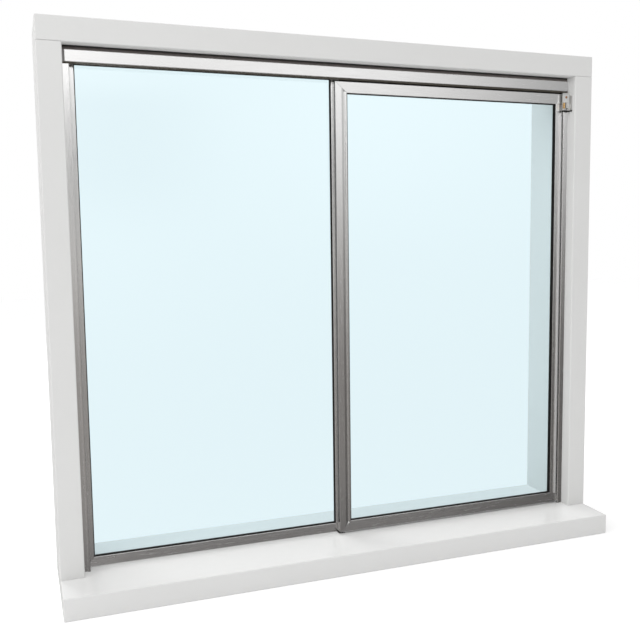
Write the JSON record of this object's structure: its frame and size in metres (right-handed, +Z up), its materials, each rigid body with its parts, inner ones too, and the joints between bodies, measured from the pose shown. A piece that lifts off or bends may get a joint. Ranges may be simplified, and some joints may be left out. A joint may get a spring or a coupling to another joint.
{
  "type": "concession window",
  "caption": "Counter window in a deep white board frame with a projecting sill: a fixed glass pane beside a top-hung sliding sash, with a header track and a corner latch.",
  "frame": {"origin": "centre of the sill's flat underside, at the middle of the bounding box's base", "axes": "+X to the right seen from the counter side, +Y from the counter side towards the back, +Z up"},
  "size_m": [1, 0.2398, 0.9238],
  "materials": {
    "painted_board": "satin white paint",
    "anodised": "satin anodised, brushed along its length",
    "plated_steel": "zinc plated",
    "black_rubber": "matt",
    "black_plastic": "matt",
    "pale_plastic": "gloss",
    "brass": "satin",
    "glass": "clear with a faint blue tint"
  },
  "bodies": {
    "root": {"casing_head": "painted_board", "casing_jamb_left": "painted_board", "casing_jamb_right": "painted_board", "casing_sill": "painted_board", "fixed_rail_bottom": "anodised", "fixed_rail_top": "anodised", "fixed_stile_left": "anodised", "fixed_stile_right": "anodised", "header_end_block": "anodised", "header_track": "anodised", "jamb_channel_left": "anodised", "jamb_channel_right": "anodised", "latch_body": "anodised", "sash_pull_strip": "anodised", "sash_rail_bottom": "anodised", "sash_rail_top": "anodised", "sash_stile_left": "anodised", "sash_stile_right": "anodised", "carriage_left": "plated_steel", "carriage_right": "plated_steel", "latch_keeper": "plated_steel", "fixed_gasket": "black_rubber", "header_brush": "black_rubber", "latch_buffer": "black_rubber", "sash_gasket": "black_rubber", "header_filler": "black_plastic", "header_packer": "black_plastic", "latch_stop": "black_plastic", "sash_guide": "black_plastic", "latch_plate": "pale_plastic", "latch_pin": "brass", "fixed_glass": "glass", "sash_glass": "glass"}
  },
  "joints": []
}
